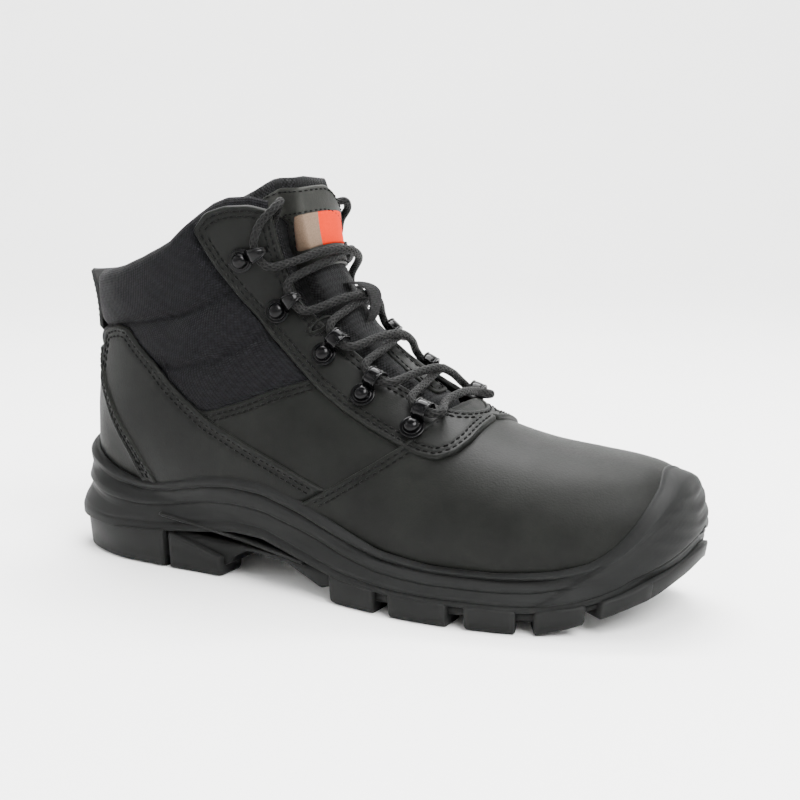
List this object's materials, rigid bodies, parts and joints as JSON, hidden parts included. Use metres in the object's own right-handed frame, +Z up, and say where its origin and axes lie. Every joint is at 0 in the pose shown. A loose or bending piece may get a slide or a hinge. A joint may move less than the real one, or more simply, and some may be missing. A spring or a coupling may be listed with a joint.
{
  "type": "steel toe work boot",
  "caption": "Right-foot ankle-high lace-up steel toe safety boot, charcoal leather with black textile collar, lugged rubber sole and toe bumper.",
  "frame": {"origin": "centre of the footprint on the ground", "axes": "+X towards the toe, +Y towards the inner side of the foot, +Z up"},
  "size_m": [0.3043, 0.109, 0.1789],
  "materials": {
    "leather": "charcoal black full-grain leather, fine grain, low sheen",
    "textile": "black woven cordura-like textile, matte",
    "lining": "dark grey spacer mesh",
    "foam": "grey upholstery foam, hidden",
    "steel": "pressed steel, hidden between leather and lining",
    "board": "fibre board, hidden",
    "footbed": "dark grey felt-topped foam",
    "midsole_pu": "matte anthracite polyurethane",
    "outsole_rubber": "matte black rubber",
    "hardware": "glossy black coated metal",
    "lace_cord": "braided dark cord",
    "lace_tip": "black plastic",
    "webbing": "black woven webbing",
    "label": "taupe and orange stitched patch, no text"
  },
  "bodies": {
    "boot": {"vamp": "leather", "side_panel_L": "leather", "side_panel_M": "leather", "backstay": "leather", "eyestay": "leather", "heel_panel_L": "leather", "heel_panel_M": "leather", "collar_textile_L": "textile", "collar_textile_M": "textile", "gusset_L": "textile", "gusset_M": "textile", "vamp_lining": "lining", "collar_lining": "lining", "collar_padding": "foam", "steel_toe_cap": "steel", "puncture_plate": "steel", "heel_stiffener": "board", "insole_board": "board", "footbed": "footbed", "midsole": "midsole_pu", "outsole": "outsole_rubber", "lace_ring_L1": "hardware", "lace_ring_L2": "hardware", "lace_ring_L3": "hardware", "lace_ring_L4": "hardware", "lace_ring_L5": "hardware", "lace_ring_M1": "hardware", "lace_ring_M2": "hardware", "lace_ring_M3": "hardware", "lace_ring_M4": "hardware", "lace_ring_M5": "hardware", "ring_rivet_L1": "hardware", "ring_rivet_L2": "hardware", "ring_rivet_L3": "hardware", "ring_rivet_L4": "hardware", "ring_rivet_L5": "hardware", "ring_rivet_M1": "hardware", "ring_rivet_M2": "hardware", "ring_rivet_M3": "hardware", "ring_rivet_M4": "hardware", "ring_rivet_M5": "hardware", "lace": "lace_cord", "aglet_L": "lace_tip", "aglet_M": "lace_tip"},
    "tongue": {"tongue_pad": "textile", "tongue_top_patch": "leather", "tongue_label": "label", "tongue_lower_patch": "leather", "lace_keeper": "webbing"},
    "pull_tab": {"pull_tab": "webbing"}
  },
  "joints": [
    {"name": "tongue_hinge", "type": "hinge", "parent": "boot", "child": "tongue", "pos_m": [0.0558, 0, 0.069], "axis": [0, -1, 0], "range_deg": [0, 12], "deforming": ["lace", "aglet_L", "aglet_M", "gusset_L", "gusset_M"]},
    {"name": "pull_tab_hinge", "type": "hinge", "parent": "boot", "child": "pull_tab", "pos_m": [-0.1402, 0, 0.104], "axis": [0, -1, 0], "range_deg": [0, 60]}
  ]
}
